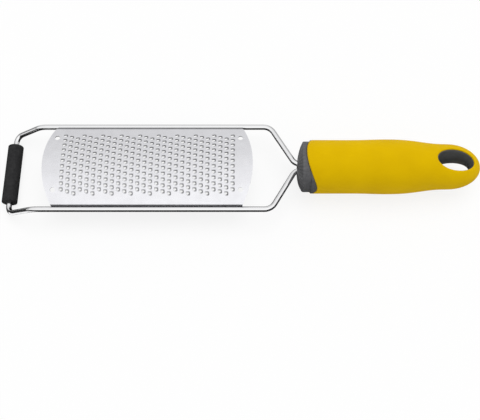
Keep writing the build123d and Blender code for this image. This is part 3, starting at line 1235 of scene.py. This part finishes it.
def outline_places(inset):
    """The handle's outline in plan, from the near side of the split round the tip to the far side."""
    places = []
    for step in range(1, outline_steps):
        turn = math.pi * (step / outline_steps - 0.5)
        x = split_x + (tip_x - inset - split_x) * math.cos(turn) ** outline_power
        half_width = half_sizes(x, inset)[0]
        places.append((x, math.copysign(half_width, turn) if turn else 0.0, axis_height))
    return places


def patch_turns(boundary):
    """The angle on the rim that each boundary point belongs to."""
    count = len(boundary)
    turns = []
    for index, vertex in enumerate(boundary):
        seen = math.atan2(vertex.co.y, vertex.co.x - hole_x) % math.tau
        even = math.pi + (index - half_ring / 2) * math.tau / count
        if index >= half_ring + outline_steps / 2 and seen < math.pi:
            seen += math.tau
        turns.append((seen + even) / 2)
    return turns


def hole_patch(shell, boundary, up, inset, rim_growth):
    """Rows of faces from a boundary loop in to the rim, on the form's surface."""
    turns = patch_turns(boundary)
    last = boundary
    for row in range(1, patch_rows + 1):
        share = row / patch_rows
        close = 1 - math.cos(share * math.pi / 2)
        places = []
        for index, (vertex, turn) in enumerate(zip(boundary, turns)):
            from_split = min(index - half_ring, len(boundary) - index) / blend_points
            on_outline = min(max(from_split, 0.0), 1.0)
            reach = share + (close - share) * on_outline
            rim_x, rim_y = oval_point(turn, rim_growth)
            x = vertex.co.x + (rim_x - vertex.co.x) * reach
            y = vertex.co.y + (rim_y - vertex.co.y) * reach
            places.append((x, y, axis_height + up * surface_height(x, y, inset)))
        loop = loop_of(shell, places)
        bridge(shell, last, loop)
        last = loop
    return last, turns


def rim_loop(shell, turns, up, growth, drop):
    """A loop at the rim, some way below the form's surface."""
    places = []
    for turn in turns:
        x, y = oval_point(turn, growth)
        places.append((x, y, axis_height + up * (surface_height(x, y) - drop)))
    return loop_of(shell, places)


print("hole", round(2 * hole_half_length / mm, 1), "by", round(2 * hole_half_width / mm, 1), "mm")

# %% [markdown]
# The grip is a closed shell: an outer skin, an inner skin that lies on the core, a rolled edge in
# front, and the two rims of the hole, which join skin to skin.

# %% Soft grip
body_rows = 34
roll_steps = 6


def skin(shell, front_loop, front_x, inset):
    """One skin of the grip, from a loop at its front to the section where the hole patches start."""
    last = front_loop
    for row in range(1, body_rows + 1):
        share = row / body_rows
        places = []
        for turn in ring_turns:
            start = front_x(turn)
            places.append(section_point(start + (split_x - start) * share, turn, inset))
        loop = loop_of(shell, places)
        bridge(shell, last, loop)
        last = loop
    return last


def two_patches(shell, section, inset, rim_growth):
    """The hole patches above and below, on one skin."""
    outline = loop_of(shell, outline_places(inset))
    over = section[:half_ring + 1] + outline
    under = [section[-side % ring_sides] for side in range(half_ring + 1)] + outline
    return (hole_patch(shell, over, 1, inset, rim_growth),
            hole_patch(shell, under, -1, inset, rim_growth))


print("rows along the grip:", body_rows)

# %% [markdown]
# The outer skin starts at the rolled edge. From the same edge a step goes back under the grip to
# the end of the collar, and the inner skin starts there. The rims roll over from the outer skin
# and end on the inner one.

# %% Grip shell
def make_grip():
    """The soft grip as one closed shell."""
    shell = bmesh.new()
    behind_collar = collar_x + collar_length
    front = loop_of(shell, [section_point(grip_edge(turn), turn, collar_step) for turn in ring_turns])
    last = front
    for step in range(roll_steps + 1):
        roll = math.pi / 2 * step / roll_steps
        inset = lip_roll * (1 - math.sin(roll))
        back = lip_roll * (1 - math.cos(roll))
        loop = loop_of(shell, [section_point(grip_edge(turn) + back, turn, inset) for turn in ring_turns])
        bridge(shell, last, loop)
        last = loop
    section = skin(shell, last, lambda turn: grip_edge(turn) + lip_roll, 0.0)
    outer_rims = two_patches(shell, section, 0.0, rim_roll)

    step_loop = loop_of(shell, [section_point(behind_collar, turn, collar_step) for turn in ring_turns])
    bridge(shell, front, step_loop)
    deep_loop = loop_of(shell, [section_point(behind_collar, turn, grip_wall) for turn in ring_turns])
    bridge(shell, step_loop, deep_loop)
    inner_section = skin(shell, deep_loop, lambda turn: behind_collar, grip_wall)
    inner_rims = two_patches(shell, inner_section, grip_wall, lining_wall)

    for up, (outer, turns), (inner, _) in zip((1, -1), outer_rims, inner_rims):
        last = outer
        for step in range(1, roll_steps + 1):
            roll = math.pi / 2 * step / roll_steps
            loop = rim_loop(shell, turns, up, rim_roll * (1 - math.sin(roll)),
                            rim_roll * (1 - math.cos(roll)))
            bridge(shell, last, loop)
            last = loop
        wall_loop = rim_loop(shell, turns, up, 0.0, 2 * rim_roll)
        bridge(shell, last, wall_loop)
        bridge(shell, wall_loop, inner)
    piece = shell_object(shell, "soft_grip", [grip_rubber])
    dress(piece, "handle_grip", crease=50)


make_grip()

# %% [markdown]
# The core shows in three places: the domed collar where the wire goes in, the bare patches beside
# the grip's edge, and the lining of the hole. Between them it runs as a bar inside the grip.

# %% Domed collar
dome_depth = 6.0 * mm
dome_room = 0.6 * mm
dome_radius = swell_half_width - collar_step + dome_room
dome_trim = 0.2 * mm
dome_shares = (0.12, 0.25, 0.4, 0.55, 0.68, 0.8, 0.9, 1.0)
collar_edge = 0.9 * mm
edge_lead_share = 0.6
collar_skew = 0.06
collar_lead = 0.3 * mm
near_deepening, far_flattening = 0.3, 0.15


def dome_place(turn, inset, share=1.0):
    """A point of the domed front, part of the way out from the axis. The near side leads a little."""
    _, y, z = section_point(collar_x, turn, inset)
    y, z = y * share, (z - axis_height) * share
    reach = math.hypot(y, z) / dome_radius
    side = y / dome_radius
    depth = dome_depth * (1 - (near_deepening if y < 0 else far_flattening) * side)
    dome = depth * (1 - math.sqrt(1 - reach * reach)) - dome_trim
    skew = collar_skew * y - collar_lead
    return (collar_x + max(dome, 0.0) + skew, y, axis_height + z)


def collar_loops(shell):
    """The loops of the domed front and its softened edge."""
    rim = collar_step + collar_edge
    loops = [loop_of(shell, [dome_place(turn, rim, share) for turn in ring_turns])
             for share in dome_shares]
    for step in range(1, roll_steps + 1):
        roll = math.pi / 2 * step / roll_steps
        inset = collar_step + collar_edge * (1 - math.sin(roll))
        places = []
        for turn in ring_turns:
            start = dome_place(turn, rim)[0]
            end = dome_place(turn, collar_step)[0] + collar_edge * edge_lead_share
            x = start + (end - start) * (1 - math.cos(roll))
            places.append((x, *section_point(x, turn, inset)[1:]))
        loops.append(loop_of(shell, places))
    return loops


print("dome", round(dome_depth / mm, 1), "mm deep")

# %% [markdown]
# Behind the collar the core is a row of loops. The depth of each loop under the handle's form, and
# often its place too, changes with the angle round the handle, because the grip's edge is a wave.
# A narrow groove runs along that edge.

# %% Band, grooves and bar
core_gap = 0.03 * mm
groove_width = 0.5 * mm
groove_depth = 0.45 * mm
band_x = collar_x + 8.2 * mm
band_edge = 0.35 * mm
band_end_room = 0.4 * mm
band_fade = 1.2 * mm
bar_end_x = hole_x - hole_half_length - 1.0 * mm
bar_shares = (0.0, 0.2, 0.4, 0.6, 0.8, 1.0)


def steady(value):
    """The same value at every angle."""
    return lambda turn: value


def band_inset(turn):
    """How deep the core lies between the collar and the grip: flush at the sides."""
    room = (grip_edge(turn) - band_x - band_end_room) / band_fade
    return core_gap + (collar_step - core_gap) * (1 - eased(min(max(room, 0.0), 1.0)))


def ahead(turn):
    """Where the front groove ends: at the grip's edge, or at the band if that comes first."""
    return min(grip_edge(turn), band_x - band_edge)


def past_edge(turn):
    """Where the rear groove ends: just under the grip, or behind the band if that is further."""
    return max(grip_edge(turn) + core_gap, band_x + 2 * band_edge + groove_width)


def collar_and_bar(shell):
    """The core from its domed front to the end of its bar, closed at both ends."""
    loops = collar_loops(shell)
    cap(shell, loops[0], (collar_x, 0, axis_height))

    def ring(x_of, inset_of):
        """Adds one loop, its place and its depth given for each angle."""
        loops.append(loop_of(shell, [
            section_point(x_of(turn), turn, inset_of(turn)) for turn in ring_turns]))

    inside = steady(collar_step + core_gap)
    ring(lambda turn: ahead(turn) - groove_width, inside)
    ring(lambda turn: ahead(turn) - groove_width / 2,
         lambda turn: inside(turn) + (groove_depth if grip_edge(turn) < band_x else 0.0))
    ring(steady(band_x - band_edge), inside)
    for step in range(1, roll_steps + 1):
        roll = math.pi * step / roll_steps
        share = (1 - math.cos(roll)) / 2
        ring(steady(band_x - band_edge + 2 * band_edge * step / roll_steps),
             lambda turn: collar_step + (band_inset(turn) - collar_step) * share)
    ring(lambda turn: past_edge(turn) - groove_width, band_inset)
    ring(lambda turn: past_edge(turn) - groove_width / 2, lambda turn: band_inset(turn) + groove_depth)
    ring(past_edge, lambda turn: band_inset(turn) + groove_depth)
    ring(lambda turn: past_edge(turn) + core_gap, inside)
    ring(steady(collar_x + collar_length - core_gap), inside)
    start = collar_x + collar_length
    for share in bar_shares:
        ring(steady(start + (bar_end_x - start) * share), steady(grip_wall + core_gap))
    for first, second in zip(loops, loops[1:]):
        bridge(shell, first, second)
    cap(shell, loops[-1], (bar_end_x, 0, axis_height))


print("bar ends", round((tip_x - bar_end_x) / mm, 1), "mm before the handle's tip")

# %% [markdown]
# The lining is a ring of its own inside the hole. It stands a little proud of the grip's rim, and
# its inner wall is narrowest half way down, as a moulding with draft from both sides is.

# %% Lining and core
lining_proud = 0.25 * mm
lining_edge = 0.3 * mm
lining_draft = 1.3 * mm
lining_shares = (0.75, 0.5, 0.25, 0.0, -0.25, -0.5, -0.75)
# How far the lining's top edge lies outside the hole's oval and under the form, point by point.
lining_profile = (
    (lining_wall - core_gap, 2 * rim_roll + 0.4 * mm), (lining_edge, rim_roll + 0.2 * mm),
    (-lining_proud / 2, rim_roll + 0.12 * mm), (-lining_proud, rim_roll + 0.35 * mm))


def hole_lining(shell):
    """The lining of the hole, closed in itself."""
    turns = [math.tau * side / outline_steps for side in range(outline_steps)]
    lining = [rim_loop(shell, turns, 1, growth, drop) for growth, drop in lining_profile]
    top = [surface_height(*oval_point(turn, 0)) - rim_roll for turn in turns]
    for share in lining_shares:
        growth = -lining_proud - lining_draft * (1 - abs(share))
        lining.append(loop_of(shell, [
            (*oval_point(turn, growth), axis_height + height * share)
            for turn, height in zip(turns, top)]))
    lining += [rim_loop(shell, turns, -1, growth, drop) for growth, drop in reversed(lining_profile)]
    for first, second in zip(lining, lining[1:] + lining[:1]):
        bridge(shell, first, second)


def make_core():
    """The hard core, with its lining painted paler than the core, as painted light against the shade in
    the hole.
    """
    shell = bmesh.new()
    collar_and_bar(shell)
    lining_start = len(shell.faces)
    hole_lining(shell)
    shell.faces.ensure_lookup_table()
    for face in shell.faces[lining_start:]:
        face.material_index = 1
    piece = shell_object(shell, "hard_core", [core_plastic, liner_painted_paler])
    dress(piece, "handle_core", crease=50)


make_core()

# %% [markdown]
# The set is a white floor. Bright metal needs something dark to reflect, so cards lie on the
# floor that only reflections can see: black ones in front of the tool and a grey one behind it. A
# gap between the black ones lets the white floor show in the near bend of the nose.

# %% Floor and cards
pure_white = (1, 1, 1, 1)
floor_colour = (0.95, 0.95, 0.95, 1)
floor_glow = 0.84
floor_reach = 6.0
card_reach = 0.9
card_height = 0.2 * mm
card_split = rail_half_spacing - 3 * mm
gap_end = rail_front_x - 8 * mm
gap_low, gap_high = -75 * mm, -30 * mm
black_shade, grey_shade = 0.015, 0.5


def flat_stage(name, low, high, height, material):
    """A level rectangle that belongs to the set."""
    corners = [(low[0], low[1], height), (high[0], low[1], height), (high[0], high[1], height),
               (low[0], high[1], height)]
    card = object_from(name, corners, faces=[(0, 1, 2, 3)])
    card.data.materials.append(material)
    card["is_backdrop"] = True
    return card


def make_floor_finish():
    """Matt white that glows a little to the eye, so shadows stay pale, and clear from below."""
    material = bpy.data.materials.new("floor")
    tree = empty_tree(material)
    matt = add(tree, "ShaderNodeBsdfDiffuse", {"Color": floor_colour})
    glow = add(tree, "ShaderNodeEmission", {"Color": pure_white, "Strength": 1.0})
    path = add(tree, "ShaderNodeLightPath")
    seen = maths(tree, "MULTIPLY", path.outputs["Is Camera Ray"], floor_glow)
    pale = add(tree, "ShaderNodeMixShader", {0: seen, 1: matt.outputs[0], 2: glow.outputs[0]})
    clear = add(tree, "ShaderNodeBsdfTransparent")
    behind = add(tree, "ShaderNodeNewGeometry").outputs["Backfacing"]
    mixed = add(tree, "ShaderNodeMixShader", {0: behind, 1: pale.outputs[0], 2: clear.outputs[0]})
    add(tree, "ShaderNodeOutputMaterial", {"Surface": mixed.outputs[0]})
    return material


def make_card_finish(name, shade):
    """One plain tone that needs no light."""
    material = bpy.data.materials.new(name)
    tree = empty_tree(material)
    tone = add(tree, "ShaderNodeEmission", {"Color": (shade, shade, shade, 1), "Strength": 1.0})
    add(tree, "ShaderNodeOutputMaterial", {"Surface": tone.outputs[0]})
    return material


flat_stage("floor", (-floor_reach, -floor_reach), (floor_reach, floor_reach), 0.0, make_floor_finish())
black_card = make_card_finish("black_card", black_shade)
grey_card = make_card_finish("grey_card", grey_shade)
cards = [
    flat_stage("front_card", (gap_end, -card_reach), (card_reach, card_split), card_height, black_card),
    flat_stage("nose_card", (-card_reach, gap_high), (gap_end, card_split), card_height, black_card),
    flat_stage("corner_card", (-card_reach, -card_reach), (gap_end, gap_low), card_height, black_card),
    flat_stage("rear_card", (-card_reach, card_split), (card_reach, card_reach), card_height, grey_card),
]
for card in cards:
    card.visible_camera = False
    card.visible_diffuse = False
    card.visible_shadow = False
    card.visible_transmission = False
print("cards:", len(cards))

# %% [markdown]
# The sky is plain white to the eye. In reflections it is shaded as a studio is: pale overhead,
# greyer behind the tool, and dark low in front and at the sides, with one pale streak on the left.
# Every shade is a ramp over one part of the ray's direction. Its numbers say where it starts,
# where it ends and, unless they are 0 and 1, its two values.

# %% Reflected sky
paleness_across = (0.95, -0.35, 0.68, 0.97)
paleness_along = (-0.45, 0.1, -0.04, 0.03)
behind_up, behind_along, behind_across, behind_shade = (0.8, 0.4), (0.1, 0.4), (0.2, 0.5), 0.45
front_up, front_across = (0.62, 0.36), (-0.35, -0.6)
left_up, left_along = (0.55, 0.35), (-0.55, -0.75)
streak_rise, streak_fall, streak_share = (0.24, 0.30), (0.42, 0.36), 0.75
right_up, right_along, right_across = (0.7, 0.44), (0.25, 0.5), (0.3, 0.0)
darkness = 0.97


def ramp(tree, value, start, end, low=0.0, high=1.0):
    """A value that runs from low to high between two places."""
    return add(tree, "ShaderNodeMapRange", {
        "Value": value, "From Min": start, "From Max": end, "To Min": low, "To Max": high},
        interpolation_type="SMOOTHSTEP").outputs["Result"]


def both(tree, first, second):
    """How much of each place lies in both of two ramps."""
    return maths(tree, "MULTIPLY", first, second)


def without(tree, share, depth):
    """What is left when a share of it is taken away to some depth."""
    return maths(tree, "MULTIPLY_ADD", share, -depth, 1.0)


def reflected_sky(tree):
    """The brightness of the sky that metal shows, for each direction."""
    place = add(tree, "ShaderNodeTexCoord").outputs["Generated"]
    direction = add(tree, "ShaderNodeSeparateXYZ", {0: place})
    along, across, up = (direction.outputs[axis] for axis in "XYZ")
    pale = ramp(tree, across, *paleness_across)
    pale = maths(tree, "ADD", pale, ramp(tree, along, *paleness_along))
    low_behind = both(tree, ramp(tree, up, *behind_up), ramp(tree, along, *behind_along))
    low_behind = both(tree, low_behind, ramp(tree, across, *behind_across))
    pale = maths(tree, "MULTIPLY", pale, without(tree, low_behind, behind_shade))
    low_front = both(tree, ramp(tree, up, *front_up), ramp(tree, across, *front_across))
    low_left = both(tree, ramp(tree, up, *left_up), ramp(tree, along, *left_along))
    streak = both(tree, ramp(tree, up, *streak_rise), ramp(tree, up, *streak_fall))
    low_left = maths(tree, "MULTIPLY", low_left, without(tree, streak, streak_share))
    low_right = both(tree, ramp(tree, up, *right_up), ramp(tree, along, *right_along))
    low_right = both(tree, low_right, ramp(tree, across, *right_across))
    dark = maths(tree, "MAXIMUM", maths(tree, "MAXIMUM", low_front, low_left), low_right)
    return maths(tree, "MULTIPLY", pale, without(tree, dark, darkness))


print("ramps over the sky's height:", [behind_up, front_up, left_up, right_up])

# %% [markdown]
# The light itself comes from the whole sky, evenly and dimmed, and from one broad soft sun high
# above, which reflections do not show.

# %% Sky and sun
sky_light = 0.55
sun_light = 1.5
sun_lean = (math.radians(-14), math.radians(8), 0)
sun_width = math.radians(50)


def make_sky():
    """White to the eye, shaded in reflections, and plain as a light."""
    world = bpy.data.worlds.new("sky")
    bpy.context.scene.world = world
    tree = empty_tree(world)
    path = add(tree, "ShaderNodeLightPath")
    mirrored, white, light = (
        add(tree, "ShaderNodeBackground", {"Color": pure_white, "Strength": strength})
        for strength in (reflected_sky(tree), 1.0, sky_light))
    lit = add(tree, "ShaderNodeMixShader", {
        0: path.outputs["Is Glossy Ray"], 1: light.outputs[0], 2: mirrored.outputs[0]})
    looks = maths(tree, "MAXIMUM", path.outputs["Is Camera Ray"], path.outputs["Is Transmission Ray"])
    mixed = add(tree, "ShaderNodeMixShader", {0: looks, 1: lit.outputs[0], 2: white.outputs[0]})
    add(tree, "ShaderNodeOutputWorld", {"Surface": mixed.outputs[0]})


make_sky()
sun_data = bpy.data.lights.new("sun", "SUN")
sun_data.energy = sun_light
sun_data.angle = sun_width
sun = bpy.data.objects.new("sun", sun_data)
sun.rotation_euler = sun_lean
sun.visible_glossy = False
bpy.context.scene.collection.objects.link(sun)
print("sky", sky_light, "sun", sun_light)

# %% [markdown]
# Last, the frame's box and the dressed tool's box are compared, and the largest difference
# between them is printed. They should agree.

low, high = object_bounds()
differences = [abs(a - b) for a, b in zip((*low, *high), (*cad_low, *cad_high))]
print("largest difference:", round(max(differences) / mm, 2), "mm")
